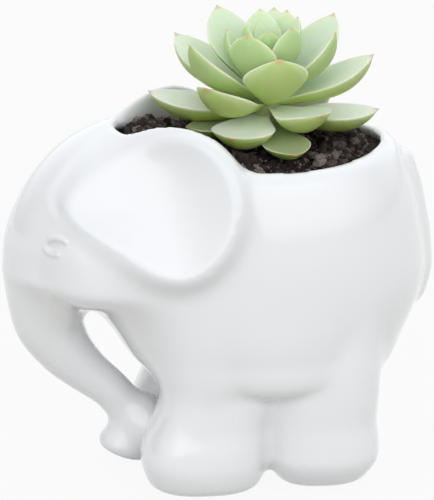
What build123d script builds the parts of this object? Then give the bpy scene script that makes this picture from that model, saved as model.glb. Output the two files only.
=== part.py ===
from build123d import *
import os
from math import cos, pi, radians, sin

# Elephant-shaped planter of glazed ceramic, planted with a rosette succulent. Millimetres.
# The head looks towards -X, +Z is up and Y = 0 is the plane of symmetry of the pot.
# The origin lies on the floor, under the middle of the bounding box.

# Barrel of the body: a stack of ellipses from the flat belly to above the rim
body_length = 101.4
body_width = 84.0
body_mid_x = 12.0
belly_height = 27.0
barrel_top = 110.0
wall = 4.5
# height, shift along X, length and width of each ellipse of the barrel
barrel_shares = [
    (0.000, 0.027, 0.586, 0.760),
    (0.072, 0.021, 0.732, 0.925),
    (0.205, 0.007, 0.873, 0.985),
    (0.398, 0.000, 1.000, 1.000),
    (0.602, -0.005, 0.978, 0.976),
    (0.783, -0.007, 0.907, 0.905),
    (1.000, -0.010, 0.740, 0.726),
]

# Rim of the planting mouth: it rises from the tail to the head and sags on both flanks
rim_tail_height = 102.0
rim_head_height = 106.0
rim_sag_radius = 125.0
mouth_mid_x = 10.2
mouth_length = 72.8
mouth_width = 60.4
mouth_depth = 18.0

# Head: the tall upper half and the shallow lower half of two ellipsoids with one equator
head_length = 68.0
head_width = 66.0
head_mid_x = -30.6
head_mid_z = 63.7
brow_height = 42.0
jaw_height = 10.8

# Trunk: round sections from inside the head to the flared tip in front of the forelegs
trunk_root_x = -49.6
trunk_root_z = 65.0
trunk_sweep = 21.0
trunk_drop = 61.0
trunk_root_radius = 14.7
# sweep towards the tail, drop and radius of each section
trunk_shares = [
    (0.000, 0.000, 1.000),
    (-0.075, 0.150, 0.930),
    (-0.076, 0.300, 0.770),
    (0.130, 0.440, 0.605),
    (0.450, 0.565, 0.475),
    (0.800, 0.680, 0.405),
    (1.060, 0.790, 0.400),
    (1.130, 0.890, 0.440),
    (1.090, 1.000, 0.515),
]

# Web of clay that ties the tip of the trunk to the fore feet
trunk_web_x = -21.5
trunk_web_z = 11.5
trunk_web_length = 12.0
trunk_web_width = 18.0
trunk_web_height = 15.0

# Legs: round sections that widen into a foot; the fore feet reach forward past their shins
leg_height = 58.0
leg_pitch_y = 41.0
foreleg_x = -2.7
foreleg_radius = 18.7
hindleg_x = 29.0
hindleg_radius = 17.3
# height, shift towards the tail and radius of each section
foreleg_shares = [
    (0.000, -0.180, 0.775),
    (0.055, -0.180, 0.955),
    (0.155, -0.185, 1.020),
    (0.255, -0.110, 0.945),
    (0.360, -0.015, 0.875),
    (0.500, 0.030, 0.880),
    (0.660, 0.030, 0.880),
    (0.830, 0.030, 0.850),
    (1.000, 0.030, 0.800),
]
hindleg_shares = [
    (0.000, 0.040, 0.755),
    (0.055, 0.040, 0.930),
    (0.155, 0.040, 1.000),
    (0.255, 0.020, 0.985),
    (0.360, 0.000, 0.965),
    (0.500, 0.000, 0.970),
    (0.660, 0.000, 0.980),
    (0.830, 0.000, 0.960),
    (1.000, 0.000, 0.910),
]

# Ears: an outline in the XZ plane, cut from a swollen shell round the body; inside its rim, a ball
# dents the ear and the cheek behind it
ear_length = 52.4
ear_height = 44.8
ear_mid_x = -21.6
ear_mid_z = 89.5
ear_rim = 4.0
ear_dish_radius = 39.5
ear_dish_x = -32.9
ear_dish_y = 63.6
ear_dish_z = 102.1
# X and Z of the outline, measured from the middle of the ear
ear_outline_shares = [
    (-0.520, -0.030),
    (-0.408, 0.160),
    (-0.281, 0.275),
    (-0.172, 0.368),
    (-0.063, 0.449),
    (0.073, 0.503),
    (0.208, 0.508),
    (0.342, 0.452),
    (0.441, 0.340),
    (0.492, 0.180),
    (0.500, 0.007),
    (0.464, -0.165),
    (0.382, -0.324),
    (0.273, -0.449),
    (0.149, -0.500),
    (0.017, -0.482),
    (-0.099, -0.406),
    (-0.204, -0.300),
    (-0.350, -0.180),
    (-0.475, -0.108),
]
ear_shell_length = 150.0
ear_shell_width = 93.0
ear_shell_height = 92.0
ear_shell_mid_x = 18.0
ear_shell_mid_z = 77.0

# Eyes: small raised lids on the cheeks
eye_length = 5.6
eye_height = 3.0
eye_proud = 1.0
eye_x = -50.3
eye_z = 76.2
eye_tilt = 14.0

# Tail: a strip that tapers down the rump to a blunt tuft
tail_top_z = 94.0
tail_drop = 42.0
tail_radius = 4.0
tail_proud = 2.4
# drop and radius of each section
tail_shares = [
    (0.000, 0.350),
    (0.180, 0.720),
    (0.500, 0.900),
    (0.800, 1.000),
    (0.950, 0.950),
    (1.000, 0.550),
]

# Drain: a hole in the belly, a pull-out plug and a screen that holds the soil back
drain_x = 12.0
drain_radius = 5.0
plug_clearance = 0.1
plug_flange_radius = 6.5
plug_flange_height = 2.0
plug_tab_width = 8.0
plug_tab_thickness = 3.0
plug_tab_height = 5.0
screen_radius = 11.0
screen_thickness = 0.8
screen_hole_radius = 0.9
screen_hole_pitch = 3.0
screen_rings = 3

# Potting soil, with loose lumps on its surface
soil_drop = 3.0
soil_gap = 0.3
lump_count = 56
lump_size = 4.4
lump_sink_share = 0.20
lump_margin = 3.5

# Plant: a tapered root ball, a short stem and the leaves of the rosette
plant_x = 15.0
root_ball_radius = 16.0
root_ball_taper = 3.0
root_ball_depth = 36.0
stem_base_z = 98.0
stem_height = 31.0
stem_radius = 6.5
stem_tip_radius = 1.6
stem_root = 4.0
leaf_length = 36.0
leaf_width = 20.5
leaf_hold = 1.2
flat_leaf_curl = 5.0
steep_leaf_curl = 18.0
# distance from the base, width, and depth of the keel against that width
leaf_section_shares = [
    (0.00, 0.240, 0.300),
    (0.18, 0.470, 0.275),
    (0.36, 0.760, 0.240),
    (0.54, 0.970, 0.228),
    (0.70, 0.960, 0.222),
    (0.85, 0.680, 0.220),
    (0.94, 0.360, 0.220),
    (1.00, 0.050, 0.220),
]
leaf_channel_share = 0.050
# turn from the near flank towards the tail, height on the stem, pitch, length and width of each leaf
leaf_shares = [
    (0.031, 0.290, -0.105, 0.678, 0.707),
    (-0.225, 0.290, -0.024, 0.582, 0.683),
    (0.400, 0.271, 0.081, 0.785, 0.878),
    (-0.414, 0.284, 0.072, 0.785, 0.860),
    (-0.083, 0.368, -0.062, 0.628, 0.951),
    (0.253, 0.355, 0.000, 0.846, 0.976),
    (0.490, 0.348, 0.111, 0.830, 0.820),
    (-0.297, 0.381, 0.080, 0.912, 0.976),
    (0.100, 0.432, 0.037, 0.579, 0.951),
    (0.400, 0.432, 0.224, 0.853, 0.878),
    (-0.439, 0.445, 0.236, 0.860, 0.878),
    (-0.144, 0.458, 0.238, 0.655, 1.000),
    (0.261, 0.477, 0.258, 0.893, 0.951),
    (-0.344, 0.503, 0.336, 0.905, 0.951),
    (0.014, 0.497, 0.516, 0.610, 0.951),
    (0.342, 0.542, 0.455, 0.877, 0.854),
    (-0.217, 0.548, 0.416, 0.749, 1.000),
    (-0.400, 0.574, 0.541, 0.821, 0.854),
    (0.217, 0.587, 0.495, 0.705, 0.829),
    (0.461, 0.606, 0.580, 0.710, 0.683),
    (-0.092, 0.632, 0.674, 0.555, 0.756),
    (-0.294, 0.671, 0.630, 0.505, 0.585),
    (0.400, 0.690, 0.668, 0.590, 0.537),
    (0.122, 0.703, 0.724, 0.505, 0.634),
    (0.308, 0.765, 0.665, 0.494, 0.470),
    (-0.483, 0.781, 0.742, 0.496, 0.512),
    (-0.217, 0.806, 0.773, 0.385, 0.439),
    (-0.003, 0.839, 0.824, 0.306, 0.366),
    (0.303, 0.871, 0.860, 0.302, 0.293),
    (-0.364, 0.903, 0.883, 0.294, 0.244),
]

overrun = 40.0
golden_turn = 137.508


def ellipsoid(centre, size):
    """An ellipsoid with the given centre and full sizes along X, Y and Z."""
    return Pos(*centre) * scale(Sphere(1), by=tuple(side / 2 for side in size))


def rim_plane(drop=0.0):
    """The tilted plane along the top of the rim, or one parallel to it and lower by drop."""
    rise = Vector(-mouth_length, 0, rim_head_height - rim_tail_height)
    middle = (mouth_mid_x, 0, (rim_head_height + rim_tail_height) / 2 - drop)
    across = Vector(0, 1, 0)
    return Plane(origin=middle, x_dir=across, z_dir=across.cross(rise))


def under_rim(shape, drop=0.0):
    """The part of a shape under a round vault that sags from the middle plane to both flanks."""
    ridge = rim_plane(drop)
    vault = Plane(origin=ridge.origin - ridge.z_dir * rim_sag_radius, x_dir=ridge.x_dir, z_dir=ridge.y_dir)
    return shape & vault * Cylinder(rim_sag_radius, 2 * body_length)


def barrel(inset):
    """The egg-shaped body, drawn in by inset on the sides and the belly."""
    floor = belly_height + inset
    sections = []
    for height, shift, length, width in barrel_shares:
        centre = Pos(body_mid_x + shift * body_length, 0, floor + height * (barrel_top - floor))
        sections.append(centre * Ellipse(length * body_length / 2 - inset, width * body_width / 2 - inset))
    return loft(sections)


def head(inset):
    centre = (head_mid_x, 0, head_mid_z)
    across = (head_length - 2 * inset, head_width - 2 * inset)
    equator = Plane(origin=centre)
    brow = split(ellipsoid(centre, (*across, 2 * (brow_height - inset))), equator, keep=Keep.TOP)
    jaw = split(ellipsoid(centre, (*across, 2 * (jaw_height - inset))), equator, keep=Keep.BOTTOM)
    return brow + jaw


def trunk():
    points = [
        Vector(trunk_root_x + sweep * trunk_sweep, 0, trunk_root_z - drop * trunk_drop)
        for sweep, drop, _ in trunk_shares
    ]
    sections = []
    for i, (_, _, radius) in enumerate(trunk_shares):
        along = points[min(i + 1, len(points) - 1)] - points[max(i - 1, 0)]
        plane = Plane(origin=points[i], x_dir=(0, 1, 0), z_dir=along)
        sections.append(plane * Circle(radius * trunk_root_radius))
    return loft(sections)


def trunk_web():
    return ellipsoid((trunk_web_x, 0, trunk_web_z), (trunk_web_length, trunk_web_width, trunk_web_height))


def leg(shares, mid_x, radius, flank, inset):
    """One leg that stands on the floor, drawn in by inset."""
    sections = []
    for height, shift, reach in shares:
        centre = Pos(mid_x + shift * radius, flank * leg_pitch_y / 2, inset + height * (leg_height - inset))
        sections.append(centre * Circle(reach * radius - inset))
    return loft(sections)


def legs(inset):
    found = []
    for flank in (-1, 1):
        found.append(leg(foreleg_shares, foreleg_x, foreleg_radius, flank, inset))
        found.append(leg(hindleg_shares, hindleg_x, hindleg_radius, flank, inset))
    return found


def ear_outline(inset):
    points = []
    for x, z in ear_outline_shares:
        points.append((ear_mid_x + x * (ear_length - 2 * inset), ear_mid_z + z * (ear_height - 2 * inset)))
    return Plane.XZ * make_face(Spline(*points, periodic=True))


def ear():
    """The ear on the -Y flank, before its face is dished."""
    shell_mid = (ear_shell_mid_x, 0, ear_shell_mid_z)
    shell = ellipsoid(shell_mid, (ear_shell_length, ear_shell_width, ear_shell_height))
    return extrude(ear_outline(0), ear_shell_width) & shell


def ear_dish():
    """The dent in the face of the ear on the -Y flank: a ball, kept inside the ear's rim."""
    ball = Pos(ear_dish_x, -ear_dish_y, ear_dish_z) * Sphere(ear_dish_radius)
    return extrude(ear_outline(ear_rim), ear_shell_width) & ball


def flank_of_head(x, z):
    """How far the head reaches to the side at a place on its cheek."""
    along = 2 * (x - head_mid_x) / head_length
    up = (z - head_mid_z) / brow_height
    return head_width / 2 * (1 - along**2 - up**2) ** 0.5


def eye():
    out = -flank_of_head(eye_x, eye_z)
    lid = scale(Sphere(1), by=(eye_length / 2, 2 * eye_proud, eye_height / 2))
    return Pos(eye_x, out + eye_proud, eye_z) * Rot(0, -eye_tilt, 0) * lid


def rump(z):
    """X of the rear of the barrel at a height, between the sections that lie above and below."""
    span = barrel_top - belly_height
    rows = [(belly_height + h * span, body_mid_x + (s + l / 2) * body_length) for h, s, l, _ in barrel_shares]
    for (low, x_low), (high, x_high) in zip(rows, rows[1:]):
        if z <= high:
            return x_low + (x_high - x_low) * (z - low) / (high - low)
    return rows[-1][1]


def tail():
    points = []
    for drop, radius in tail_shares:
        z = tail_top_z - drop * tail_drop
        points.append(Vector(rump(z) + tail_proud - radius * tail_radius, 0, z))
    sections = []
    for i, (_, radius) in enumerate(tail_shares):
        along = points[min(i + 1, len(points) - 1)] - points[max(i - 1, 0)]
        sections.append(Plane(origin=points[i], x_dir=(0, 1, 0), z_dir=along) * Circle(radius * tail_radius))
    return loft(sections)


def mouth(inset):
    """The upright oval well of the planting mouth."""
    outline = Ellipse(mouth_length / 2 - inset, mouth_width / 2 - inset)
    base = Pos(mouth_mid_x, 0, rim_tail_height - mouth_depth)
    return base * extrude(outline, mouth_depth + overrun)


def hollow(inset, clearance=0.0):
    """The space inside the pot: barrel, head and legs joined, with the mouth above them."""
    space = barrel(inset + clearance) + head(inset + clearance)
    for one in legs(inset + clearance):
        space += one
    return space + mouth(clearance)


def pot():
    shell = under_rim(barrel(0)) + head(0) + trunk() + trunk_web()
    for one in legs(0):
        shell += one
    shell += tail()
    for piece in (ear(), eye()):
        shell += piece
        shell += mirror(piece, Plane.XZ)
    dish = ear_dish()
    shell -= dish
    shell -= mirror(dish, Plane.XZ)
    drain = Pos(drain_x, 0, belly_height) * Cylinder(drain_radius, 2 * wall + overrun / 2)
    return shell - hollow(wall) - drain


def soil_surface(shape):
    return under_rim(shape, soil_drop)


def soil_height(x, y):
    """Z of the soil surface at a place in the mouth."""
    slope = (rim_head_height - rim_tail_height) / mouth_length
    middle = (rim_head_height + rim_tail_height) / 2
    sag = rim_sag_radius - (rim_sag_radius**2 - y**2) ** 0.5
    return middle - slope * (x - mouth_mid_x) - soil_drop - sag


def root_ball(clearance=0.0):
    """The root ball, or with a clearance the socket it leaves in the soil."""
    bottom = rim_head_height - root_ball_depth - clearance
    height = root_ball_depth + clearance
    foot = root_ball_radius - root_ball_taper + clearance
    cone = Cone(foot, root_ball_radius + clearance, height, align=(Align.CENTER, Align.CENTER, Align.MIN))
    return Pos(plant_x, 0, bottom) * cone


def floor_disc(radius, height, x, z):
    return Pos(x, 0, z) * Cylinder(radius, height, align=(Align.CENTER, Align.CENTER, Align.MIN))


def potting_soil():
    fill = soil_surface(hollow(wall, soil_gap)) - root_ball(soil_gap)
    return fill - floor_disc(screen_radius + soil_gap, wall + screen_thickness + soil_gap, drain_x, belly_height)


def lump(size, twist):
    """A faceted lump of soil about the origin."""
    corners = 12
    points = []
    for i in range(corners):
        rise = 1 - 2 * (i + 0.5) / corners
        ring = (1 - rise**2) ** 0.5
        turn = radians(golden_turn * i + twist)
        reach = size / 2 * (0.80 + 0.20 * sin(5 * i + twist))
        points.append(Vector(reach * ring * cos(turn), reach * ring * sin(turn), reach * rise * 0.75))
    return ConvexPolyhedron(points)


def soil_crumbs():
    """Lumps spread over the soil, clear of the root ball and of the two lowest leaves."""
    lumps = []
    for k in range(lump_count):
        spread = ((k + 0.5) / lump_count) ** 0.5
        turn = radians(golden_turn * k)
        size = lump_size * (0.62 + 0.38 * sin(2.4 * k))
        x = mouth_mid_x + (mouth_length / 2 - lump_margin) * spread * cos(turn)
        y = (mouth_width / 2 - lump_margin) * spread * sin(turn)
        shaded = any(leaf_covers(row, x, y, size) for row in leaf_shares[:2])
        if shaded or (x - plant_x) ** 2 + y**2 < (root_ball_radius + size) ** 2:
            continue
        lumps.append(Pos(x, y, soil_height(x, y) + size * (0.375 - lump_sink_share)) * lump(size, 40 * k))
    return Compound(children=lumps)


def leaf_covers(row, x, y, margin):
    """Whether a place on the soil lies under a leaf."""
    turn, _, _, length, width = row
    way = radians(360 * turn - 90)
    along = (x - plant_x) * cos(way) + y * sin(way)
    aside = (y * cos(way)) - (x - plant_x) * sin(way)
    return 0 < along < length * leaf_length + stem_radius + margin and abs(aside) < width * leaf_width / 2 + margin


def drain_screen():
    sheet = floor_disc(screen_radius, screen_thickness, drain_x, belly_height + wall)
    hole = floor_disc(screen_hole_radius, wall, drain_x, belly_height + wall - screen_thickness)
    sheet -= hole
    for ring in range(1, screen_rings + 1):
        for i in range(6 * ring):
            turn = 2 * pi * i / (6 * ring)
            reach = ring * screen_hole_pitch
            sheet -= Pos(reach * cos(turn), reach * sin(turn)) * hole
    return sheet


def drain_plug():
    top = belly_height - plug_clearance
    shank = floor_disc(drain_radius - plug_clearance, wall, drain_x, top)
    flange = floor_disc(plug_flange_radius, plug_flange_height, drain_x, top - plug_flange_height)
    tab = Box(plug_tab_width, plug_tab_thickness, plug_tab_height, align=(Align.CENTER, Align.CENTER, Align.MAX))
    return shank + flange + Pos(drain_x, 0, top - plug_flange_height) * tab


def stem():
    base = (Align.CENTER, Align.CENTER, Align.MIN)
    shoot = Pos(plant_x, 0, stem_base_z) * Cone(stem_radius, stem_tip_radius, stem_height, align=base)
    return shoot + floor_disc(stem_radius, stem_root, plant_x, stem_base_z - stem_root)


def leaf(turn, height, pitch, length, width):
    """A boat-shaped leaf: a shallow channel above, a rounded keel below and a pointed tip."""
    curl = radians(flat_leaf_curl + steep_leaf_curl * max(pitch, 0))
    start = radians(90 * pitch) - curl / 2
    chord = length * leaf_length
    bend = chord / (2 * sin(curl / 2))
    root = stem_radius + (stem_tip_radius - stem_radius) * height - leaf_hold

    def spine(share):
        angle = start + curl * share
        return Vector(root + bend * (sin(angle) - sin(start)), 0, bend * (cos(start) - cos(angle))), angle

    sections = []
    for share, breadth, keel in leaf_section_shares:
        point, angle = spine(share)
        full = breadth * width * leaf_width
        edge = full / 2
        upper = ThreePointArc((-edge, 0), (0, -leaf_channel_share * full), (edge, 0))
        lower = ThreePointArc((edge, 0), (0, -keel * full), (-edge, 0))
        plane = Plane(origin=point, x_dir=(0, 1, 0), z_dir=(cos(angle), 0, sin(angle)))
        sections.append(plane * make_face([upper, lower]))
    place = Pos(plant_x, 0, stem_base_z + height * stem_height) * Rot(0, 0, 360 * turn - 90)
    return place * loft(sections)


def nodes():
    found = {
        "elephant_pot": pot(),
        "drain_screen": drain_screen(),
        "drain_plug": drain_plug(),
        "potting_soil": potting_soil(),
        "soil_crumbs": soil_crumbs(),
        "root_ball": soil_surface(root_ball()),
        "stem": stem(),
    }
    for number, row in enumerate(leaf_shares, start=1):
        found[f"leaf_{number:02d}"] = leaf(*row)
    return found


if __name__ == "__main__":
    os.makedirs("parts", exist_ok=True)
    found = nodes()
    box = found["elephant_pot"].bounding_box()
    for name, shape in found.items():
        export_step(Pos(-box.center().X, 0, 0) * shape, f"parts/{name}.step")
        print(name, len(shape.solids()), "solids", round(shape.volume), "mm3")
    print("pot box", box.min, box.max)
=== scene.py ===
# %% [markdown]
# # An elephant planter with a rosette succulent
# A glossy white ceramic elephant carries potting soil and one pale green rosette.
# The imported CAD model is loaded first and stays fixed: it says where everything is.
# Every piece below is built in the same frame, in metres, and rides on one of its bodies.

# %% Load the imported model
import math
import bmesh
import bpy
import numpy as np
import openvdb
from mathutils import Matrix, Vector, noise


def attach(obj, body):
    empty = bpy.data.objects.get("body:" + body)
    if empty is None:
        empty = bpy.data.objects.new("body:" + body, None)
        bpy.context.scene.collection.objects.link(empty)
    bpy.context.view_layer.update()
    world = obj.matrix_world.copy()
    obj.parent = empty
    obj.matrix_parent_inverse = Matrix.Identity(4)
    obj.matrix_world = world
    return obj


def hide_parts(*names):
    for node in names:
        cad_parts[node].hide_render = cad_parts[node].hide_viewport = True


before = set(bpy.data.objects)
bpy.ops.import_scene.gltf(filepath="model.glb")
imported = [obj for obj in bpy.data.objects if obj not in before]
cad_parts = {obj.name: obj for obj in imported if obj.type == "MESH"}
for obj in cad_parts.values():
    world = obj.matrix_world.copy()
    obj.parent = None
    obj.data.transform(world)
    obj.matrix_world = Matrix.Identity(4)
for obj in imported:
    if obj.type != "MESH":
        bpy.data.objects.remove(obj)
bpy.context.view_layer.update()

# %% [markdown]
# ## Working in millimetres
# The planter is small, so lengths read best in millimetres and are turned into metres once.
# One helper makes each piece: it builds the mesh, puts it on its body and hides the solid
# that it stands for. Values kept on the points, such as how near a point is to a leaf's edge,
# are stored as attributes, because a shader can read those from any side.

# %% Make a piece from points and faces
MM = 0.001


def make_piece(name, points, faces, body, stands_for=(), marks=None):
    mesh = bpy.data.meshes.new(name)
    mesh.from_pydata((np.asarray(points) * MM).tolist(), [], [list(face) for face in faces])
    mesh.polygons.foreach_set("use_smooth", [True] * len(mesh.polygons))
    for mark, values in (marks or {}).items():
        attribute = mesh.attributes.new(mark, "FLOAT", "POINT")
        attribute.data.foreach_set("value", np.asarray(values, np.float32))
    mesh.update()
    piece = bpy.data.objects.new(name, mesh)
    bpy.context.scene.collection.objects.link(piece)
    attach(piece, body)
    if stands_for:
        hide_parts(*stands_for)
    return piece


# %% Read a CAD solid as points and triangles
def solid_of(node):
    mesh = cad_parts[node].data
    points = np.empty(3 * len(mesh.vertices), np.float32)
    mesh.vertices.foreach_get("co", points)
    mesh.calc_loop_triangles()
    triangles = np.empty(3 * len(mesh.loop_triangles), np.int32)
    mesh.loop_triangles.foreach_get("vertices", triangles)
    return points.reshape(-1, 3) / MM, triangles.reshape(-1, 3).astype(np.uint32)


print("pot solid", len(solid_of("elephant_pot")[1]), "triangles")

# %% [markdown]
# ## Soft ceramic forms
# Slip-cast ceramic has no sharp inner corners: every form flows into the next, and gloss
# shows each corner at once. The pot is therefore modelled like clay, as a field of distances:
# each form gives the distance to its own skin, and a smooth minimum joins two forms with a
# fillet of a chosen size. The skin where the joined field is zero becomes the mesh.
# The forms start from the measures of the CAD model, and are then rounded and shaved a little,
# to follow the real pot more closely.

# %% Measures that several forms share
stem_mid, mouth_mid = 15.0, 10.2
mouth_length, mouth_width = 72.8, 60.4
rim_height, rim_drop, rim_sag_radius = 104.0, 4.0, 125.0
soil_drop = 3.0
barrel_mid, barrel_length, barrel_width = 12.0, 101.4, 84.0
belly_height, barrel_rise = 27.0, 83.0
leg_height, leg_aside = 58.0, 20.5
wall = 4.5

# %% Grid of sample points
voxel = 0.8
stem_x = solid_of("stem")[0][:, 0]
centre_x = float(stem_x.min() + stem_x.max()) / 2 - stem_mid
mouth_x = mouth_mid + centre_x
grid_x = np.arange(-70.0, 70.0, voxel)[:, None, None]
grid_y = -(np.arange(0, 50.0, voxel) + voxel / 2)[None, ::-1][:, :, None]
grid_z = np.arange(-4.0, 117.0, voxel)[None, None, :]
side_y = np.sqrt(grid_y**2 + 1.0)
print("samples", grid_x.size * grid_y.size * grid_z.size)


# %% Joining, cutting and smooth tables
def join(first, second, fillet):
    """Smooth minimum: the union of two forms with a fillet between them."""
    near = np.maximum(fillet - np.abs(first - second), 0) / fillet
    return np.minimum(first, second) - near * near * fillet / 4


def cut(first, second, fillet):
    """Smooth maximum: what two forms share, with a rounded edge."""
    return -join(-first, -second, fillet)


def smoothstep(low, high, value):
    share = np.clip((value - low) / (high - low), 0, 1)
    return share * share * (3 - 2 * share)


def through(xs, ys, at):
    """Values of a smooth curve through the rows of a table."""
    xs, ys = np.asarray(xs, float), np.asarray(ys, float)
    slopes = np.gradient(ys, xs)
    row = np.clip(np.searchsorted(xs, at) - 1, 0, len(xs) - 2)
    step = xs[row + 1] - xs[row]
    t = np.clip((at - xs[row]) / step, 0, 1)
    first = (2 * t**3 - 3 * t**2 + 1) * ys[row] + (t**3 - 2 * t**2 + t) * step * slopes[row]
    return first + (3 * t**2 - 2 * t**3) * ys[row + 1] + (t**3 - t**2) * step * slopes[row + 1]


# %% Distance to an ellipsoid and to a tapering tube
def ellipsoid(x, y, z, rx, ry, rz):
    scaled = np.sqrt((x / rx) ** 2 + (y / ry) ** 2 + (z / rz) ** 2)
    steep = np.sqrt((x / rx**2) ** 2 + (y / ry**2) ** 2 + (z / rz**2) ** 2)
    return scaled * (scaled - 1) / np.maximum(steep, 1e-6)


def bent_tube(points, radii):
    """Distance to a tube whose radius changes from point to point."""
    found = np.full((grid_x.size, grid_y.size, grid_z.size), 1e3)
    for a, b, ra, rb in zip(points, points[1:], radii, radii[1:]):
        way = b - a
        dx, dz = grid_x - a[0], grid_z - a[2]
        t = np.clip((dx * way[0] + dz * way[2]) / (way @ way), 0, 1)
        gap = np.sqrt((dx - t * way[0]) ** 2 + grid_y**2 + (dz - t * way[2]) ** 2)
        found = np.minimum(found, gap - (ra + (rb - ra) * t))
    return found


# %% Barrel of the body
# height, shift, length and width, all as shares
barrel_rows = np.array([
    (0.000, 0.027, 0.586, 0.760),
    (0.072, 0.021, 0.732, 0.925),
    (0.205, 0.007, 0.873, 0.985),
    (0.398, 0.000, 1.000, 1.000),
    (0.602, -0.005, 0.978, 0.976),
    (0.783, -0.007, 0.907, 0.905),
    (1.000, -0.010, 0.740, 0.726),
])
level = np.clip((grid_z[0, 0] - belly_height) / barrel_rise, 0, 1)
shift, length, width = (through(barrel_rows[:, 0], barrel_rows[:, k], level) for k in (1, 2, 3))
middle = barrel_mid + centre_x + barrel_length * shift
half_x, half_y = barrel_length / 2 * length, barrel_width / 2 * width
steep = 1 / np.sqrt(1 + np.gradient(0.5 * (half_x + half_y), grid_z[0, 0]) ** 2)
barrel = ellipsoid(grid_x - middle, grid_y, np.zeros_like(grid_z), half_x, half_y, 1.0) * steep
barrel = cut(barrel, belly_height - grid_z, 9.0)
print("barrel length", round(float(2 * half_x.max()), 1))

# %% Head
head_z = grid_z - 63.7
head = ellipsoid(grid_x + 30.6 - centre_x, grid_y, head_z, 34.0, 33.0, np.where(head_z > 0, 42.0, 10.8))


# %% Legs
def leg(mid_x, radius, rows):
    """A pair of legs, from rows of height, shift along the body and reach, all as shares."""
    rows = np.array(rows)
    level = np.clip(grid_z[0, 0] / leg_height, 0, 1)
    x = mid_x + centre_x + radius * through(rows[:, 0], rows[:, 1], level)
    reach = radius * through(rows[:, 0], rows[:, 2], level)
    steep = 1 / np.sqrt(1 + np.gradient(reach, grid_z[0, 0]) ** 2)
    aside = side_y - leg_aside
    square = 2.0 + 0.7 * smoothstep(-4.0, 6.0, aside)
    column = (np.abs(grid_x - x) ** square + np.abs(aside) ** square) ** (1 / square)
    column = (column - reach) * steep
    return cut(cut(column, -grid_z, 4.0), grid_z - leg_height - 6.0, 4.0)


foreleg = leg(-2.7, 18.7, [
    (0.000, -0.180, 0.720), (0.043, -0.180, 0.880), (0.097, -0.180, 0.960),
    (0.155, -0.185, 1.000), (0.255, -0.150, 0.985), (0.360, -0.070, 0.930),
    (0.500, 0.050, 0.910), (0.660, 0.060, 0.900), (1.000, 0.030, 0.800),
])
hindleg = leg(29.0, 17.3, [
    (0.000, 0.000, 0.430), (0.043, 0.000, 0.710), (0.097, 0.010, 0.870),
    (0.155, 0.020, 0.970), (0.255, 0.020, 0.985), (0.360, 0.000, 0.970),
    (0.500, 0.010, 0.990), (0.660, 0.020, 0.990), (1.000, 0.000, 0.870),
])
print("legs", foreleg.shape)

# %% Trunk
# shift, drop and radius from the brow to the tip, all as shares
trunk_rows = np.array([
    (0.000, 0.000, 1.000), (-0.075, 0.150, 0.930), (-0.076, 0.300, 0.770),
    (0.130, 0.440, 0.605), (0.460, 0.563, 0.475), (0.830, 0.675, 0.410),
    (1.060, 0.785, 0.415), (1.100, 0.890, 0.470), (1.000, 1.005, 0.595),
])
fine = np.linspace(0, 8, 57)
trunk_x, trunk_z, trunk_r = (through(np.arange(9), trunk_rows[:, k], fine) for k in range(3))
trunk_line = np.stack([-49.6 + centre_x + 21.0 * trunk_x, 0 * fine, 65.0 - 61.0 * trunk_z], axis=1)
trunk = bent_tube(trunk_line, 14.7 * trunk_r)
tip_way = trunk_line[-1] - trunk_line[-4]
tip_way /= np.linalg.norm(tip_way)
past_tip = (grid_x - trunk_line[-1][0]) * tip_way[0] + (grid_z - trunk_line[-1][2]) * tip_way[2]
trunk = cut(trunk, past_tip, 3.0)
web = ellipsoid(grid_x + 21.5 - centre_x, grid_y, grid_z - 13.0, 6.5, 9.0, 9.0)
trunk = join(trunk, web, 4.0)
print("trunk tip", trunk_line[-1].round(1))

# %% [markdown]
# ## The mouth and the tail
# The rim sags across the body and drops towards the tail. The mouth is an oval well. At the
# head end it flares, so the nape rolls softly into the soil.

# %% Rim and mouth
slope = math.atan2(rim_drop, mouth_length)
along = grid_x - mouth_x
rise = (grid_z - rim_height) * math.cos(slope) + along * math.sin(slope)
over_rim = np.hypot(grid_y, rise + rim_sag_radius) - rim_sag_radius
flare = np.maximum(grid_z - 102.0, 0) * smoothstep(-12.0, -30.0, along)
flare = flare * smoothstep(21.0, 10.0, side_y)
well = ellipsoid(along, grid_y, np.zeros_like(grid_z), mouth_length / 2 + flare, mouth_width / 2, 1.0)
well = cut(well, 84.0 - grid_z, 6.0)
print("widest flare", round(float(flare.max()), 1))

# %% Tail strip
tail_z = np.array([94.0, 86.4, 73.0, 60.4, 54.1, 52.0])
tail_r = 4.0 * np.array([0.35, 0.72, 0.90, 1.00, 0.95, 0.55])
rump_x = barrel_mid + barrel_length * (barrel_rows[:, 1] + barrel_rows[:, 2] / 2)
rump = through(belly_height + barrel_rise * barrel_rows[:, 0], rump_x, tail_z)
tail = bent_tube(np.stack([rump + centre_x + 2.4 - tail_r, 0 * tail_z, tail_z], axis=1), tail_r)

# %% [markdown]
# ## The ears
# An ear is a dish with a rolled rim. It is raised from the side of the head and the body:
# near its outline the skin stands proud, and towards the middle it sinks again. The rim is
# low at the front, where the ear grows out of the cheek, and high at the back and below.

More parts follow.
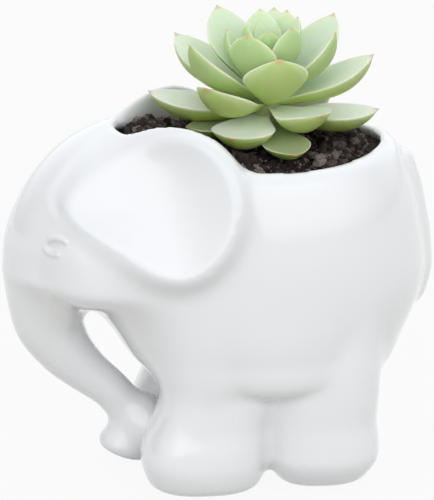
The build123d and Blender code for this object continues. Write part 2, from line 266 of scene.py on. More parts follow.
# %% Outline of an ear
ear_rows = np.array([
    (-0.520, -0.030), (-0.408, 0.160), (-0.281, 0.275), (-0.172, 0.368), (-0.063, 0.449),
    (0.073, 0.503), (0.208, 0.508), (0.342, 0.452), (0.441, 0.340), (0.492, 0.180),
    (0.500, 0.007), (0.464, -0.165), (0.382, -0.324), (0.273, -0.449), (0.149, -0.500),
    (0.017, -0.482), (-0.099, -0.406), (-0.204, -0.300), (-0.350, -0.180), (-0.475, -0.108),
]) * [52.4, 44.8]
ear_mid = np.array([-21.6 + centre_x + 3.0, 89.5])
ear_rows = ear_rows - [3.0, 0.0]
turn = np.arctan2(ear_rows[:, 1], ear_rows[:, 0])
order = np.argsort(turn)
circle = np.radians(np.arange(0, 360, 2.0)) - math.pi
reach = np.interp(circle, turn[order], np.hypot(*ear_rows.T)[order], period=2 * math.pi)
for _ in range(8):
    reach = 0.5 * reach + 0.25 * (np.roll(reach, 1) + np.roll(reach, -1))

# %% Dish of an ear
ear_dx, ear_dz = grid_x - ear_mid[0], grid_z - ear_mid[1]
ear_turn = np.arctan2(ear_dz, ear_dx)
ear_reach = np.interp(ear_turn, circle, reach, period=2 * math.pi)
ear_share = np.hypot(ear_dx, ear_dz) / ear_reach
front = 0.5 - 0.5 * np.cos(ear_turn)
crest = 6.2 - 4.4 * front**1.6
dish = -1.5 + (crest + 1.5) * np.minimum(ear_share / 0.86, 1.4) ** 2
dish = join(dish, crest + 0.6, 2.5)
off_ear = (ear_share - 1) * ear_reach * 0.9

# %% [markdown]
# ## Putting the pot together
# The fillets differ from joint to joint. A wide one lets the trunk flow out of the face. It
# swells the brow, so the front of the face is shaved back afterwards. A fine groove sets the
# ear off from the head.

# %% Body, legs and trunk
neck = 9.0 + 5.0 * smoothstep(58.0, 76.0, grid_z)
loaf = join(barrel, head, neck)
legs = join(foreleg, hindleg, 4.5)
hip = 1.2 + 5.0 * smoothstep(6.0, -8.0, grid_x) + 2.0 * smoothstep(34.0, 44.0, grid_x)
trunkless = join(loaf, legs, hip)
ear = cut(cut((loaf - dish) * 0.85, off_ear, 7.0), -(loaf + 5.0), 3.0)
body = join(cut(barrel, over_rim, 3.0), head, neck)
outer = join(body, legs, hip)
outer = join(outer, trunk, 3.5 + 9.0 * smoothstep(-38.5, -47.0, grid_x))

# %% Shave the brow
shave_z = [0.0, 20.0, 28.0, 37.0, 46.0, 53.0, 62.0, 68.0, 74.0, 80.0, 86.0, 98.0, 112.0]
shave = through(shave_z, [0.0, 0.0, 0.2, 1.0, 1.6, 2.3, 3.4, 3.4, 2.6, 1.8, 1.2, 1.0, 1.0], grid_z[0, 0])
outer = outer + shave * smoothstep(-40.0, -55.0, grid_x)
outer = join(outer, tail, 6.0)

# %% Set the ears in
seam = 5.5 - 3.7 * smoothstep(84.0, 97.0, grid_z) * smoothstep(-8.0, -22.0, grid_x)
outer = join(outer, ear, seam)
outer = cut(outer, -cut(dish - loaf, off_ear + 3.5, 3.0), 2.0)
groove = np.exp(-(((ear_share - 1.03) * ear_reach / 1.6) ** 2)) * smoothstep(80.0, 88.0, grid_z)
outer = outer + 0.6 * groove * smoothstep(0.35, 0.70, front) * smoothstep(4.0, 0.0, np.abs(loaf))

# %% Hollow the pot and drill the drain
drain = np.hypot(grid_x - barrel_mid - centre_x, grid_y) - 5.0
drain = cut(drain, np.abs(grid_z - 29.0) - 9.0, 1.0)
field = cut(outer, -join(trunkless + wall, well, 3.0), 2.6)
field = cut(field, -drain, 1.0)
print("field", field.shape)

# %% Skin of the field
whole = np.concatenate([field, field[:, ::-1]], axis=1).astype(np.float32)
grid = openvdb.FloatGrid(1e3)
grid.copyFromArray(whole)
pot_points, pot_faces = grid.convertToQuads(0.0)
corner = np.array([grid_x.min(), grid_y.min(), grid_z.min()])
pot_points = pot_points.astype(float) * voxel + corner
pot_faces = pot_faces[:, ::-1].astype(int)
print("pot skin", len(pot_faces), "faces", pot_points.min(0).round(1), pot_points.max(0).round(1))

# %% Relax a skin
def edges_of(faces):
    ring = np.concatenate([faces[:, [i, (i + 1) % faces.shape[1]]] for i in range(faces.shape[1])])
    return np.unique(np.sort(ring, axis=1), axis=0)


def pull_of(points, edges, count):
    """From each point to the mean of its neighbours."""
    near = np.empty_like(points)
    for axis in range(points.shape[1]):
        ahead = np.bincount(edges[:, 0], points[edges[:, 1], axis], len(points))
        near[:, axis] = ahead + np.bincount(edges[:, 1], points[edges[:, 0], axis], len(points))
    return near / count[:, None] - points


def relax(points, faces, rounds):
    edges = edges_of(faces)
    count = np.bincount(edges.ravel(), minlength=len(points))
    for _ in range(rounds):
        for step in (0.60, -0.56):
            points = points + step * pull_of(points, edges, count)
    return points


pot_points = relax(pot_points, pot_faces, 12)
pot_points[:, 2] = np.maximum(pot_points[:, 2], 0.0)

# %% Mark the hollows, where glaze gathers and where shade is painted
def point_normals(points, faces):
    normals = np.zeros_like(points)
    across = points[faces[:, 2]] - points[faces[:, 0]]
    face_normals = np.cross(across, points[faces[:, 3]] - points[faces[:, 1]])
    for corner in range(4):
        for axis in range(3):
            normals[:, axis] += np.bincount(faces[:, corner], face_normals[:, axis], len(points))
    return normals / np.maximum(np.linalg.norm(normals, axis=1), 1e-9)[:, None]


def hollowness(points, faces, rounds):
    """Positive in hollows, negative on ridges."""
    edges = edges_of(faces)
    count = np.bincount(edges.ravel(), minlength=len(points))
    depth = np.einsum("ij,ij->i", pull_of(points, edges, count), point_normals(points, faces))[:, None]
    for _ in range(rounds):
        depth = depth + 0.5 * pull_of(depth, edges, count)
    return depth[:, 0]


pot_hollow = hollowness(pot_points, pot_faces, 6)
print("hollow", np.percentile(pot_hollow, [1, 50, 99]).round(4))

# %% Place the pot
pot = make_piece(
    "glazed_pot", pot_points, pot_faces, "pot", ["elephant_pot"], {"hollow": pot_hollow}
)

# %% [markdown]
# ## The eyes
# Each eye is a small closed lid, pressed into the cheek: a low bump between two creases.
# The mesh is too coarse for that, so the faces round the eye are divided first, smoothed,
# and then moved in and out along the surface.

# %% Divide the skin round both eyes
eye_at = np.array([-50.5, -25.2, 76.1])


def near_eye(point, distance):
    return math.dist((point.x / MM, -abs(point.y) / MM, point.z / MM), eye_at) < distance


work = bmesh.new()
work.from_mesh(pot.data)
split = [edge for edge in work.edges if all(near_eye(vert.co, 6.5) for vert in edge.verts)]
bmesh.ops.subdivide_edges(work, edges=split, cuts=3, use_grid_fill=True)
for _ in range(12):
    soft = [vert for vert in work.verts if near_eye(vert.co, 7.5)]
    bmesh.ops.smooth_vert(work, verts=soft, factor=0.5, use_axis_x=True, use_axis_y=True, use_axis_z=True)
work.normal_update()
print("eye points", len(soft))


# %% Press the lids
def from_line(point, line):
    """Distance from a place on the cheek to a crease."""
    best = 1e9
    for a, b in zip(line, line[1:]):
        way = b - a
        share = min(max((point - a).dot(way) / way.dot(way), 0.0), 1.0)
        best = min(best, (point - a - way * share).length)
    return best


depth_layer = work.verts.layers.float["hollow"]
upper_crease = [Vector(p) for p in ((-0.9, 1.55), (0.3, 2.25), (1.45, 2.6), (2.6, 2.6), (3.5, 2.3))]
lower_crease = [Vector(p) for p in ((-2.3, -1.3), (-1.5, -1.9), (-0.2, -2.05), (1.2, -1.7))]
for vert in soft:
    right = (vert.co.x / MM - eye_at[0]) * 0.9945 + (abs(vert.co.y) / MM + eye_at[1]) * 0.1045
    up = (vert.co.z / MM - eye_at[2]) * 0.956
    spot = Vector((right, up))
    lid = 0.50 * math.exp(-(((right - 0.25 * up) / 2.3) ** 2) - ((up - 0.2 * right) / 1.5) ** 2)
    crease = 0.52 * math.exp(-((from_line(spot, upper_crease) / 0.70) ** 2))
    crease += 0.46 * math.exp(-((from_line(spot, lower_crease) / 0.78) ** 2))
    # Painted shade: the creases are also written into the hollow mark, so the glaze paints them grey.
    vert[depth_layer] = 0.20 * crease
    vert.co += vert.normal * (lid - crease) * MM
work.to_mesh(pot.data)
work.free()
pot.data.polygons.foreach_set("use_smooth", [True] * len(pot.data.polygons))
pot.data.update()

# %% [markdown]
# ## Writing shaders as sums
# A shader is a small program of nodes. One class wraps a node's output, and its operators
# add Math nodes, so a mask is written as a formula. Any other node is added by name.

# %% The socket class
class Wire:
    """One output socket. Arithmetic on it adds Math nodes to the same material."""

    def __init__(self, tree, socket=None):
        self.tree = tree
        self.socket = socket

    def node(self, kind, settings=None, inputs=None, output=0):
        made = self.tree.nodes.new("ShaderNode" + kind)
        for key, value in (settings or {}).items():
            setattr(made, key, value)
        for key, value in (inputs or {}).items():
            if isinstance(value, Wire):
                self.tree.links.new(value.socket, made.inputs[key])
            else:
                made.inputs[key].default_value = value
        return Wire(self.tree, made.outputs[output])

    def math(self, operation, *values):
        return self.node("Math", {"operation": operation}, dict(enumerate(values)))

    def __add__(self, other):
        return self.math("ADD", self, other)

    def __sub__(self, other):
        return self.math("SUBTRACT", self, other)

    def __rsub__(self, other):
        return self.math("SUBTRACT", other, self)

    def __mul__(self, other):
        return self.math("MULTIPLY", self, other)

    __radd__ = __add__
    __rmul__ = __mul__

    def between(self, low, high):
        """0 below low, 1 above high and a smooth step in the middle."""
        limits = {"Value": self, "From Min": low, "From Max": high}
        return self.node("MapRange", {"interpolation_type": "SMOOTHSTEP"}, limits)

    def blend(self, first, second):
        """A colour between two others, by this value."""
        return self.node("Mix", {"data_type": "RGBA"}, {0: self, 6: first, 7: second}, 2)

    def mark(self, name):
        """A value stored on the points of the mesh."""
        return self.node("Attribute", {"attribute_name": name}, output="Fac")

    def place(self):
        return self.node("TexCoord", output="Object")

    def axis(self, name):
        return self.node("SeparateXYZ", inputs={0: self.place()}, output=name)

    def grain(self, size, detail=3.0):
        """Noise from 0 to 1 whose blobs are about size millimetres across."""
        scale = {"Vector": self.place(), "Scale": 1000 / size, "Detail": detail, "Roughness": 0.55}
        return self.node("TexNoise", inputs=scale)

    def cells(self, size):
        """Distance to the nearest of many scattered points, size millimetres apart."""
        scale = {"Vector": self.place(), "Scale": 1000 / size}
        return self.node("TexVoronoi", {"feature": "F1"}, scale, "Distance")

    def bump(self, height, depth, strength=1.0):
        """A normal that is tilted by a height, whose full step is depth millimetres."""
        return self.node("Bump", inputs={"Height": height, "Distance": depth * MM, "Strength": strength})


# %% Start a material
def rgb(red, green, blue):
    return (red, green, blue, 1.0)


def new_finish(name, **constants):
    material = bpy.data.materials.new(name)
    material.use_nodes = True
    shader = material.node_tree.nodes["Principled BSDF"]
    for key, value in constants.items():
        shader.inputs[key.replace("_", " ")].default_value = value
    return material, Wire(material.node_tree), shader


def wear(shader, **links):
    for key, wire in links.items():
        wire.tree.links.new(wire.socket, shader.inputs[key.replace("_", " ")])


# %% [markdown]
# ## White glaze
# The glaze is a thin clear glass over a white body. It gathers in hollows, where it looks a touch cooler
# and deeper, and the hollows also carry painted shade: the deep hollows and the eye creases are painted
# grey. It runs thin on the lip, where the warmer clay shows through.
# The surface has a faint ripple, a few pinholes, and the soles of the feet are bare clay.

# %% Glaze the pot
glaze, w, shader = new_finish("white_glaze", IOR=1.5, Coat_Roughness=0.03, Coat_IOR=1.5)
hollow = w.mark("hollow").between(0.004, 0.05)
ridge = w.mark("hollow").between(-0.03, -0.11)
cloud = w.grain(38.0)
white = cloud.blend(rgb(0.800, 0.805, 0.815), rgb(0.835, 0.838, 0.842))
# Hollows get a cooler, darker tint: partly glaze that gathers there, partly painted shade.
white = (hollow * 0.55).blend(white, rgb(0.735, 0.750, 0.755))
# Painted shade: the deepest hollows and the eye creases are painted grey.
white = (w.mark("hollow").between(0.06, 0.18) * 0.6).blend(white, rgb(0.42, 0.42, 0.40))
white = (ridge * 0.35).blend(white, rgb(0.840, 0.828, 0.805))
pinhole = w.cells(7.0).between(0.035, 0.020) * w.grain(19.0).between(0.56, 0.62)
white = (pinhole * 0.5).blend(white, rgb(0.46, 0.44, 0.41))
bare = w.axis("Z").between(0.0009, 0.0004)
white = bare.blend(white, w.grain(0.8).blend(rgb(0.66, 0.63, 0.58), rgb(0.76, 0.73, 0.68)))
ripple = w.grain(9.0, 2.0) + 0.35 * w.grain(2.6, 2.0) - 0.5 * pinhole + bare * w.grain(0.5)
wear(
    shader,
    Base_Color=white,
    Roughness=0.10 + 0.06 * w.grain(5.0) + 0.55 * bare,
    Coat_Weight=(1 - bare) * 0.8,
    Normal=w.bump(ripple, 0.05, 0.35),
)
pot.data.materials.append(glaze)
print("glaze nodes", len(glaze.node_tree.nodes))

# %% [markdown]
# ## The leaves of the rosette
# Each leaf is a boat: a shallow channel above, a keel below and a short point. Its spine is
# an arc that stands steeper the higher the leaf sits on the stem. The leaf is drawn as rings
# round that arc, so its edges can be rounded and every point knows how far along the leaf it
# lies, how near the edge, and whether it is on the underside.

# %% The table of leaves
stem_foot = np.array([stem_mid + centre_x, 0.0, 98.0])
stem_height, stem_radius, stem_tip_radius = 31.0, 6.5, 1.6
leaf_length, leaf_width = 36.0, 20.5
# turn, height on the stem, pitch, length and width
leaf_shares = [
    (0.031, 0.290, -0.105, 0.678, 0.707),
    (-0.225, 0.290, -0.024, 0.582, 0.683),
    (0.400, 0.271, 0.081, 0.785, 0.878),
    (-0.414, 0.284, 0.072, 0.785, 0.860),
    (-0.083, 0.368, -0.062, 0.628, 0.951),
    (0.253, 0.355, 0.000, 0.846, 0.976),
    (0.490, 0.348, 0.111, 0.830, 0.820),
    (-0.297, 0.381, 0.080, 0.912, 0.976),
    (0.100, 0.432, 0.037, 0.579, 0.951),
    (0.400, 0.432, 0.224, 0.853, 0.878),
    (-0.439, 0.445, 0.236, 0.860, 0.878),
    (-0.144, 0.458, 0.238, 0.655, 1.000),
    (0.261, 0.477, 0.258, 0.893, 0.951),
    (-0.344, 0.503, 0.336, 0.905, 0.951),
    (0.014, 0.497, 0.516, 0.610, 0.951),
    (0.342, 0.542, 0.455, 0.877, 0.854),
    (-0.217, 0.548, 0.416, 0.749, 1.000),
    (-0.400, 0.574, 0.541, 0.821, 0.854),
    (0.217, 0.587, 0.495, 0.705, 0.829),
    (0.461, 0.606, 0.580, 0.710, 0.683),
    (-0.092, 0.632, 0.674, 0.555, 0.756),
    (-0.294, 0.671, 0.630, 0.505, 0.585),
    (0.400, 0.690, 0.668, 0.590, 0.537),
    (0.122, 0.703, 0.724, 0.505, 0.634),
    (0.308, 0.765, 0.665, 0.494, 0.470),
    (-0.483, 0.781, 0.742, 0.496, 0.512),
    (-0.217, 0.806, 0.773, 0.385, 0.439),
    (-0.003, 0.839, 0.824, 0.306, 0.366),
    (0.303, 0.871, 0.860, 0.302, 0.293),
    (-0.364, 0.903, 0.883, 0.294, 0.244),
]
# distance from the base, width, and depth of the keel against that width
leaf_sections = np.array([
    (0.00, 0.240, 0.300),
    (0.18, 0.470, 0.275),
    (0.36, 0.760, 0.240),
    (0.54, 0.970, 0.228),
    (0.70, 0.960, 0.222),
    (0.85, 0.665, 0.220),
    (0.92, 0.400, 0.220),
    (0.96, 0.180, 0.220),
    (0.98, 0.075, 0.220),
    (1.00, 0.015, 0.220),
])
print("leaves", len(leaf_shares))

# %% One leaf
def leaf_skin(number, turn, height, pitch, length, width, rings=34, corners=32):
    share = 1 - (1 - np.linspace(0, 1, rings)) ** 1.25
    breadth = width * leaf_width * through(leaf_sections[:, 0], leaf_sections[:, 1], share)
    keel = through(leaf_sections[:, 0], leaf_sections[:, 2], share)
    curl = math.radians(5.0 + 18.0 * max(pitch, 0))
    start = math.radians(90 * pitch) - curl / 2
    bend = length * leaf_length / (2 * math.sin(curl / 2))
    root = stem_radius + (stem_tip_radius - stem_radius) * height - 1.2
    angle = start + curl * share
    spine_x = root + bend * (np.sin(angle) - math.sin(start))
    spine_z = bend * (math.cos(start) - np.cos(angle))

    turn_round = np.linspace(0, 2 * math.pi, corners, endpoint=False)
    side, rise = np.cos(turn_round), np.sin(turn_round)
    under = rise < -1e-6
    lip = 0.030 * breadth[:, None] * np.abs(rise)
    crown = (1 - side**2)[None, :]
    ridge = (1 - np.abs(side))[None, :]
    sharp = smoothstep(0.35, 0.95, share)[:, None]
    above = -0.055 * breadth[:, None] * crown + lip
    full = 1 - np.abs(side[None, :]) ** 2.5
    keeled = full * (1 - 0.35 * sharp) + 0.35 * sharp * ridge
    below = -1.22 * keel[:, None] * breadth[:, None] * keeled - lip
    lift = np.where(under[None, :], below, above)
    wave = 0.16 * np.sin(9.0 * share + 1.7 * number)[:, None] * side[None, :] ** 3
    lift = lift + wave * smoothstep(1.0, 0.8, share)[:, None] * width

    local = np.empty((rings, corners, 3))
    local[..., 0] = spine_x[:, None] - np.sin(angle)[:, None] * lift
    local[..., 1] = 0.5 * breadth[:, None] * side[None, :]
    local[..., 2] = spine_z[:, None] + np.cos(angle)[:, None] * lift
    way = math.radians(360 * turn - 90)
    spin = np.array([[math.cos(way), -math.sin(way), 0], [math.sin(way), math.cos(way), 0], [0, 0, 1]])
    points = local.reshape(-1, 3) @ spin.T + stem_foot + [0, 0, height * stem_height]

    faces = [tuple(range(corners))[::-1], tuple(range((rings - 1) * corners, rings * corners))]
    for ring in range(rings - 1):
        for i in range(corners):
            j = (i + 1) % corners
            a, b = ring * corners, (ring + 1) * corners
            faces.append((a + i, a + j, b + j, b + i))
    marks = {
        "along": np.repeat(share, corners),
        "margin": np.tile(np.abs(side), rings),
        "under": np.tile(under.astype(float), rings),
        "young": np.full(rings * corners, height),
    }
    return points, faces, marks


# %% [markdown]
# ## Leaf flesh
# A fine waxy bloom makes the upper faces pale and slightly blue, and the undersides stay a fresher green.
# The tops of the lower leaves are painted paler still, as painted light under the leaves above, while the
# lowest leaves are painted dark olive, partly for their age and partly as painted shade. The rim of each
# leaf is thin and lets light through, so it looks cream to pink, and the point is red. Light also scatters
# inside the leaf, which softens its shading.

# %% The leaf material
leaf_flesh, w, shader = new_finish(
    "leaf_flesh", Subsurface_Weight=0.60, Subsurface_Radius=(0.8, 1.0, 0.35), Subsurface_Scale=0.0040
)
along, margin, under, young = w.mark("along"), w.mark("margin"), w.mark("under"), w.mark("young")
mottle = w.grain(7.0)
fine = w.grain(0.9, 2.0)
inner = young.between(0.35, 0.70)
# Painted light: the tops of the lower leaves are painted paler than those higher up, to stand for light
# under the leaves above. The pale tone is partly waxy bloom.
top = inner.blend(rgb(0.78, 0.85, 0.74), rgb(0.64, 0.77, 0.54))
fresh = along.between(0.25, 0.95)
keel_green = inner.blend(rgb(0.39, 0.47, 0.03), rgb(0.43, 0.56, 0.27))
keel_green = (fresh * 0.40).blend(keel_green, rgb(0.42, 0.56, 0.27))
rolled = under * (1 - 0.30 * margin.between(0.65, 1.0))
green = rolled.blend(top, keel_green)
green = ((1 - along.between(0.10, 0.75)) * (0.20 + 0.45 * under)).blend(green, rgb(0.42, 0.56, 0.10))
green = (mottle.between(0.40, 0.65) * 0.16).blend(green, rgb(0.50, 0.66, 0.34))
bloom = (fine.between(0.42, 0.62) * 0.16 + 0.06) * (1 - 0.95 * under)
green = bloom.blend(green, rgb(0.80, 0.86, 0.78))
# Partly painted shade: the lowest leaves, under the others, are painted a dark olive. Older leaves are
# also greener.
green = ((1 - young.between(0.289, 0.30)) * 0.80).blend(green, rgb(0.18, 0.25, 0.04))
edge = (margin + 0.03 * mottle).between(0.94, 1.01)
green = (edge * 0.6).blend(green, rgb(0.80, 0.80, 0.60))
blush = edge * along.between(0.55, 0.97) * mottle.between(0.40, 0.62)
green = (blush * 0.5).blend(green, rgb(0.70, 0.42, 0.34))
point = (along + 0.02 * mottle).between(0.945, 0.995)
green = (point * 0.75).blend(green, rgb(0.60, 0.27, 0.21))
wear(
    shader,
    Base_Color=green,
    Roughness=0.42 + 0.20 * fine,
    Normal=w.bump(fine + 0.6 * w.grain(2.4), 0.04, 0.5),
)

# %% Grow the rosette
for number, row in enumerate(leaf_shares, start=1):
    points, faces, marks = leaf_skin(number, *row)
    name = f"leaf_{number:02d}"
    leaf = make_piece("rosette_" + name, points, faces, "plant", [name], marks)
    leaf.data.materials.append(leaf_flesh)

# %% [markdown]
# ## Potting soil
# The soil is dark peat with bark crumbs. Its solid is skinned again with a level set, and
# the skin that shows is pushed up and down by fractal noise. Loose crumbs are then strewn
# over it: many small ones and a few large, each a lumpy ball turned its own way.

# %% Round a small solid with a level set
def offset_skin(points, faces, distance, voxel):
    kind = "triangles" if faces.shape[1] == 3 else "quads"
    grid = openvdb.FloatGrid.createLevelSetFromPolygons(
        points,
        transform=openvdb.createLinearTransform(voxel),
        halfWidth=abs(distance) / voxel + 3,
        **{kind: faces},
    )
    return grid.convertToQuads(distance)


def rounded(node, fillet, edge, voxel, last_voxel):
    """The skin of a CAD solid with inner corners of one radius and outer edges of another."""
    points, faces = solid_of(node)
    for distance in (fillet, -fillet, -edge, edge):
        points, faces = offset_skin(points, faces, distance, voxel)
    points, faces = offset_skin(points, faces, 0.0, last_voxel)
    return points.astype(float), faces[:, ::-1].astype(int)


# %% The height of the soil
def heaped(x):
    """How far the loose soil is heaped up towards the head end of the mouth."""
    return 2.2 * smoothstep(-12.0, -22.0, x)


def soil_height(x, y):
    sag = rim_sag_radius - np.sqrt(rim_sag_radius**2 - y**2)
    return rim_height - rim_drop / mouth_length * (x - mouth_x) - soil_drop - sag


def bumpiness(points, size):
    return np.array([noise.fractal(Vector(p) / size, 0.6, 2.1, 4) for p in points])


def rough_soil(node, depth):
    points, faces = solid_of(node)
    points, faces = offset_skin(points, faces, 0.0, 1.0)
    points, faces = points.astype(float), faces[:, ::-1].astype(int)
    normals = point_normals(points, faces)
    from_axis = np.hypot(points[:, 0] - stem_foot[0], points[:, 1])
    open_top = smoothstep(1.6, 0.4, np.abs(points[:, 2] - soil_height(points[:, 0], points[:, 1])))
    ball_side = smoothstep(20.0, 17.5, from_axis) * 0.3
    push = np.maximum(open_top * depth, ball_side) * (bumpiness(points, 3.2) - 0.35)
    points = points + normals * push[:, None]
    points[:, 2] += open_top * heaped(points[:, 0])
    return points, faces


soil_points, soil_faces = rough_soil("potting_soil", 1.0)
ball_points, ball_faces = rough_soil("root_ball", 1.0)
print("soil faces", len(soil_faces), "root ball faces", len(ball_faces))

# %% One crumb
rng = np.random.default_rng(11)


def ball_template():
    """A ball of 12 corners, split once."""
    golden = (1 + 5**0.5) / 2
    corners = [(-1, golden, 0), (1, golden, 0), (-1, -golden, 0), (1, -golden, 0)]
    corners += [(0, -1, golden), (0, 1, golden), (0, -1, -golden), (0, 1, -golden)]
    corners += [(golden, 0, -1), (golden, 0, 1), (-golden, 0, -1), (-golden, 0, 1)]
    corners = [np.array(c) / np.linalg.norm(c) for c in corners]
    faces = [(0, 11, 5), (0, 5, 1), (0, 1, 7), (0, 7, 10), (0, 10, 11), (1, 5, 9), (5, 11, 4), (11, 10, 2)]
    faces += [(10, 7, 6), (7, 1, 8), (3, 9, 4), (3, 4, 2), (3, 2, 6), (3, 6, 8), (3, 8, 9), (4, 9, 5)]
    faces += [(2, 4, 11), (6, 2, 10), (8, 6, 7), (9, 8, 1)]
    middles = {}

    def middle(a, b):
        key = (min(a, b), max(a, b))
        if key not in middles:
            point = corners[a] + corners[b]
            middles[key] = len(corners)
            corners.append(point / np.linalg.norm(point))
        return middles[key]

    split = []
    for a, b, c in faces:
        ab, bc, ca = middle(a, b), middle(b, c), middle(c, a)
        split += [(a, ab, ca), (b, bc, ab), (c, ca, bc), (ab, bc, ca)]
    return np.array(corners), np.array(split)


crumb_ball, crumb_faces = ball_template()
print("crumb ball", len(crumb_ball), "corners")

# %% Strew crumbs over an area
def strew(count, inside, largest):
    points, faces, tones = [], [], []
    while len(points) < count:
        x = mouth_x + 37.0 * rng.uniform(-1, 1)
        y = 30.0 * rng.uniform(-1, 1)
        size = 0.6 + (largest - 0.6) * rng.uniform() ** 3.6
        turn = rng.normal(size=(3, 3))
        if not inside(x, y, size):
            continue
        shape = crumb_ball * (1 + 0.36 * rng.uniform(-1, 1, (len(crumb_ball), 1)))
        shape = (shape * rng.uniform(0.75, 1.2, 3)) @ np.linalg.qr(turn)[0] * size / 2
        place = [x, y, float(soil_height(x, y) + heaped(x)) + 0.15 * size]
        faces.append(crumb_faces + len(crumb_ball) * len(points))
        points.append(shape + place)
        tones.append(np.full(len(crumb_ball), rng.uniform()))
    return np.concatenate(points), np.concatenate(faces), {"tone": np.concatenate(tones)}


def covered(x, y, row, margin):
    """Whether a place lies under a leaf."""
    turn, _, _, length, width = row
    way = math.radians(360 * turn - 90)
    along = (x - stem_foot[0]) * math.cos(way) + y * math.sin(way)
    aside = y * math.cos(way) - (x - stem_foot[0]) * math.sin(way)
    return 0 < along < length * leaf_length + 8 and abs(aside) < width * leaf_width / 2 + margin


def on_soil(x, y, size):
    oval = ((x - mouth_x) / (36.1 - size / 2)) ** 2 + (y / (29.9 - size / 2)) ** 2
    if oval > 1 or math.hypot(x - stem_foot[0], y) < 16.6 + size / 2:
        return False
    return size < 1.7 or not any(covered(x, y, row, 1.0) for row in leaf_shares[:2])


def on_root_ball(x, y, size):
    return 7.0 < math.hypot(x - stem_foot[0], y) < 15.2 - size / 2


crumb_set = strew(1700, on_soil, 4.6)
ball_crumb_set = strew(220, on_root_ball, 2.0)
print("crumbs", len(crumb_set[0]) // len(crumb_ball), "and", len(ball_crumb_set[0]) // len(crumb_ball))

# %% [markdown]
# ## Peat and bark
# Wet peat is nearly black. Crumbs that have dried a little are a paler, purplish brown, so
# each crumb carries its own tone. Nothing here is glossy, and the grain is fine and deep.

# %% The soil materials
def soil_finish(name, pale):
    material, w, shader = new_finish(name, Specular_IOR_Level=0.25)
    coarse, fine = w.grain(3.0, 4.0), w.grain(0.7, 4.0)
    brown = coarse.between(0.35, 0.7).blend(rgb(0.014, 0.010, 0.008), rgb(0.045, 0.031, 0.026))
    if pale:
        dry = w.mark("tone").between(0.45, 1.0) * fine.between(0.25, 0.65)
        brown = dry.blend(brown, rgb(0.250, 0.198, 0.180))
    brown = (fine.between(0.60, 0.72) * 0.5).blend(brown, rgb(0.085, 0.060, 0.046))
    wear(
        shader,
        Base_Color=brown,
        Roughness=0.80 + 0.18 * fine,
        Normal=w.bump(fine + 0.5 * coarse, 0.5, 0.9),
    )
    return material


peat = soil_finish("peat", False)
crumb_peat = soil_finish("crumb_peat", True)

# %% Place the soil
soil_pieces = [
    make_piece("peat_fill", soil_points, soil_faces, "pot", ["potting_soil"]),
    make_piece("peat_crumbs", crumb_set[0], crumb_set[1], "pot", ["soil_crumbs"], crumb_set[2]),
    make_piece("rooted_peat", ball_points, ball_faces, "plant", ["root_ball"]),
    make_piece("rooted_crumbs", ball_crumb_set[0], ball_crumb_set[1], "plant", (), ball_crumb_set[2]),
]
for piece, material in zip(soil_pieces, (peat, crumb_peat, peat, crumb_peat)):
    piece.data.materials.append(material)
for crumbs in (soil_pieces[1], soil_pieces[3]):
    crumbs.data.polygons.foreach_set("use_smooth", [False] * len(crumbs.data.polygons))
print("soil pieces", [piece.name for piece in soil_pieces])

# %% [markdown]
# ## Roots
# When the plant is lifted out, pale roots show on the side of its root ball. They run down
# the ball, wander a little, and lie half sunk in the peat.

# %% Draw the roots
def tube(path, radius, corners=7):
    """Points and faces of a round tube along a path, closed at both ends."""
    ahead = np.gradient(path, axis=0)
    ahead /= np.linalg.norm(ahead, axis=1)[:, None]
    aside = np.cross(ahead, [0.31, 0.17, 0.93])
    aside /= np.linalg.norm(aside, axis=1)[:, None]
    other = np.cross(ahead, aside)
    turn = np.linspace(0, 2 * math.pi, corners, endpoint=False)
    ring = np.cos(turn)[None, :, None] * aside[:, None] + np.sin(turn)[None, :, None] * other[:, None]
    points = (path[:, None] + ring * radius[:, None, None]).reshape(-1, 3)
    faces = [tuple(range(corners)), tuple(range(len(points) - corners, len(points)))[::-1]]
    for k in range(len(path) - 1):
        for i in range(corners):
            j = (i + 1) % corners
            faces.append((k * corners + j, k * corners + i, (k + 1) * corners + i, (k + 1) * corners + j))
    return points, faces


root_points, root_faces = [], []
for k in range(26):
    fall = np.linspace(0, 1, 26)
    top, drop = rng.uniform(93, 97), rng.uniform(14, 25)
    z = top - drop * fall
    way = 2 * math.pi * k / 26 + rng.uniform(-0.1, 0.1) + 0.10 * np.sin(rng.uniform(5, 9) * fall + k)
    reach = 13.0 + 3.0 * (z - 70.0) / 36.0 - 0.02
    path = np.stack([stem_foot[0] + reach * np.cos(way), reach * np.sin(way), z], axis=1)
    points, faces = tube(path, 0.34 * (1 - 0.75 * fall) * rng.uniform(0.6, 1.0))
    root_faces += [tuple(i + len(root_points) * len(points) for i in face) for face in faces]
    root_points.append(points)
roots = make_piece("roots", np.concatenate(root_points), root_faces, "plant")
root_skin, w, shader = new_finish("root_skin", Subsurface_Weight=0.15, Subsurface_Scale=0.001)
pale = w.grain(1.6).blend(rgb(0.46, 0.35, 0.22), rgb(0.68, 0.58, 0.42))
wear(shader, Base_Color=pale, Roughness=0.60 + 0.25 * w.grain(0.6), Normal=w.bump(w.grain(0.5), 0.08, 0.6))
roots.data.materials.append(root_skin)
print("roots", len(root_points))

# %% [markdown]
# ## Stem, drain plug and drain screen
# These hardly show, but they are seen when the plant is lifted or the pot is turned over.
# The stem is greenish and scarred where leaves were. The plug is soft rubber with rounded
# edges, and the screen is a moulded mesh disc, whose solid is already right.

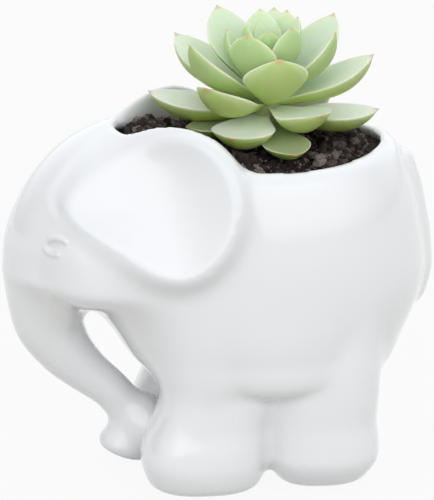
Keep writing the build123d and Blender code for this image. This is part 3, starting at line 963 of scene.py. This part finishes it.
# %% Stem
stem_points, stem_faces = rounded("stem", 0.6, 0.5, 0.25, 0.5)
stem = make_piece("leafy_stem", stem_points, stem_faces, "plant", ["stem"])
stem_skin, w, shader = new_finish("stem_skin", Subsurface_Weight=0.1, Subsurface_Scale=0.001)
scar = w.cells(3.4).between(0.12, 0.40)
bark = w.grain(1.8).blend(rgb(0.20, 0.24, 0.09), rgb(0.33, 0.36, 0.16))
bark = ((1 - scar) * 0.6).blend(bark, rgb(0.26, 0.18, 0.10))
rough = 0.55 + 0.25 * w.grain(0.9)
wear(shader, Base_Color=bark, Roughness=rough, Normal=w.bump(scar + w.grain(0.7), 0.25, 0.7))
stem.data.materials.append(stem_skin)

# %% Plug and screen
plug_points, plug_faces = rounded("drain_plug", 0.7, 0.45, 0.15, 0.3)
plug = make_piece("rubber_plug", plug_points, plug_faces, "plug", ["drain_plug"])
rubber, w, shader = new_finish("plug_rubber", Specular_IOR_Level=0.35)
dust = w.grain(4.0).between(0.45, 0.75)
grey = dust.blend(rgb(0.115, 0.115, 0.118), rgb(0.175, 0.172, 0.168))
rough = 0.62 + 0.22 * w.grain(1.2)
wear(shader, Base_Color=grey, Roughness=rough, Normal=w.bump(w.grain(0.35, 2.0), 0.06, 0.5))
plug.data.materials.append(rubber)

screen_plastic, w, shader = new_finish("screen_plastic")
tint = w.grain(2.0).blend(rgb(0.030, 0.045, 0.034), rgb(0.050, 0.068, 0.052))
soiled = w.grain(5.0).between(0.5, 0.7)
tint = (soiled * 0.6).blend(tint, rgb(0.035, 0.025, 0.018))
wear(shader, Base_Color=tint, Roughness=0.45 + 0.35 * soiled, Normal=w.bump(w.grain(0.6), 0.05, 0.5))
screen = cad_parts["drain_screen"]
screen.data.materials.clear()
screen.data.materials.append(screen_plastic)
print("plug faces", len(plug_faces), "stem faces", len(stem_faces))

# %% [markdown]
# ## Floor, light and camera
# A white object on white needs light with a direction, or it turns into a flat shape. The
# world is a soft tent without lamps: brightest in front, where the flank mirrors it, and
# paler above, behind and on the head side. The floor shows as white to the camera, still
# keeps part of the shadow, and throws a little warm light back from below.

# %% Floor
floor_mesh = bpy.data.meshes.new("floor")
floor_mesh.from_pydata([(-4, -4, 0), (4, -4, 0), (4, 4, 0), (-4, 4, 0)], [], [(0, 1, 2, 3)])
floor = bpy.data.objects.new("floor", floor_mesh)
floor.location.z = -0.0004
bpy.context.scene.collection.objects.link(floor)


def seen_directly(w):
    """1 for rays that come from the camera or by a mirror or glass, and 0 for soft light."""
    rays = ("Is Camera Ray", "Is Glossy Ray", "Is Transmission Ray")
    seen = [w.node("LightPath", output=ray) for ray in rays]
    return w.math("MAXIMUM", w.math("MAXIMUM", seen[0], seen[1]), seen[2])


paper, w, shader = new_finish("floor_paper", Roughness=0.9)
wear(shader, Base_Color=w.grain(60.0).blend(rgb(0.39, 0.375, 0.34), rgb(0.41, 0.395, 0.36)))
lit = w.node("Emission", inputs={"Color": rgb(1, 1, 1), "Strength": 1.0})
soft = Wire(paper.node_tree, shader.outputs[0])
mixed = w.node("MixShader", inputs={0: 0.93 * seen_directly(w), 1: soft, 2: lit})
paper.node_tree.links.new(mixed.socket, paper.node_tree.nodes["Material Output"].inputs["Surface"])
floor_mesh.materials.append(paper)

# %% World
world = bpy.data.worlds.new("pale_room")
bpy.context.scene.world = world
world.use_nodes = True
w = Wire(world.node_tree)
toward = w.node("TexCoord", output="Generated")
side, depth, up = (w.node("SeparateXYZ", inputs={0: toward}, output=axis) for axis in "XYZ")
tent = (0.20 * side - 0.98 * depth).between(0.00, 0.85) * up.between(-0.06, 0.10) * up.between(0.98, 0.60)
behind = (depth + 0.35 * side).between(0.0, 0.9) * up.between(-0.2, 0.2)
gloss = w.node("LightPath", output="Is Glossy Ray")
above = up.between(0.50, 0.98)
head_side = (0.34 * up - 0.87 * side - 0.36 * depth).between(0.62, 1.00)
room = 0.36 + tent * (1.29 + 0.24 * gloss) + 0.90 * behind + 0.54 * above + 0.66 * head_side
print("world nodes", len(world.node_tree.nodes))
seen = w.node("LightPath", output="Is Camera Ray")
backdrop = world.node_tree.nodes["Background"]
backdrop.inputs["Color"].default_value = rgb(0.958, 0.976, 1.0)
world.node_tree.links.new((room * (1 - seen) + seen).socket, backdrop.inputs["Strength"])
bpy.context.scene.view_settings.view_transform = "Standard"

# %% Camera
azimuth, elevation = math.radians(-6.0), math.radians(17.0)
back = Vector((
    math.sin(azimuth) * math.cos(elevation), -math.cos(azimuth) * math.cos(elevation), math.sin(elevation)
))
lens = bpy.data.cameras.new("camera")
lens.lens = 216.0
lens.sensor_width = 36.0
camera = bpy.data.objects.new("camera", lens)
camera.location = Vector((0, 0, 0.0668)) + 0.9 * back
camera.rotation_euler = back.to_track_quat("Z", "Y").to_euler()
bpy.context.scene.collection.objects.link(camera)
bpy.context.scene.camera = camera
print("camera", [round(v, 3) for v in camera.location])
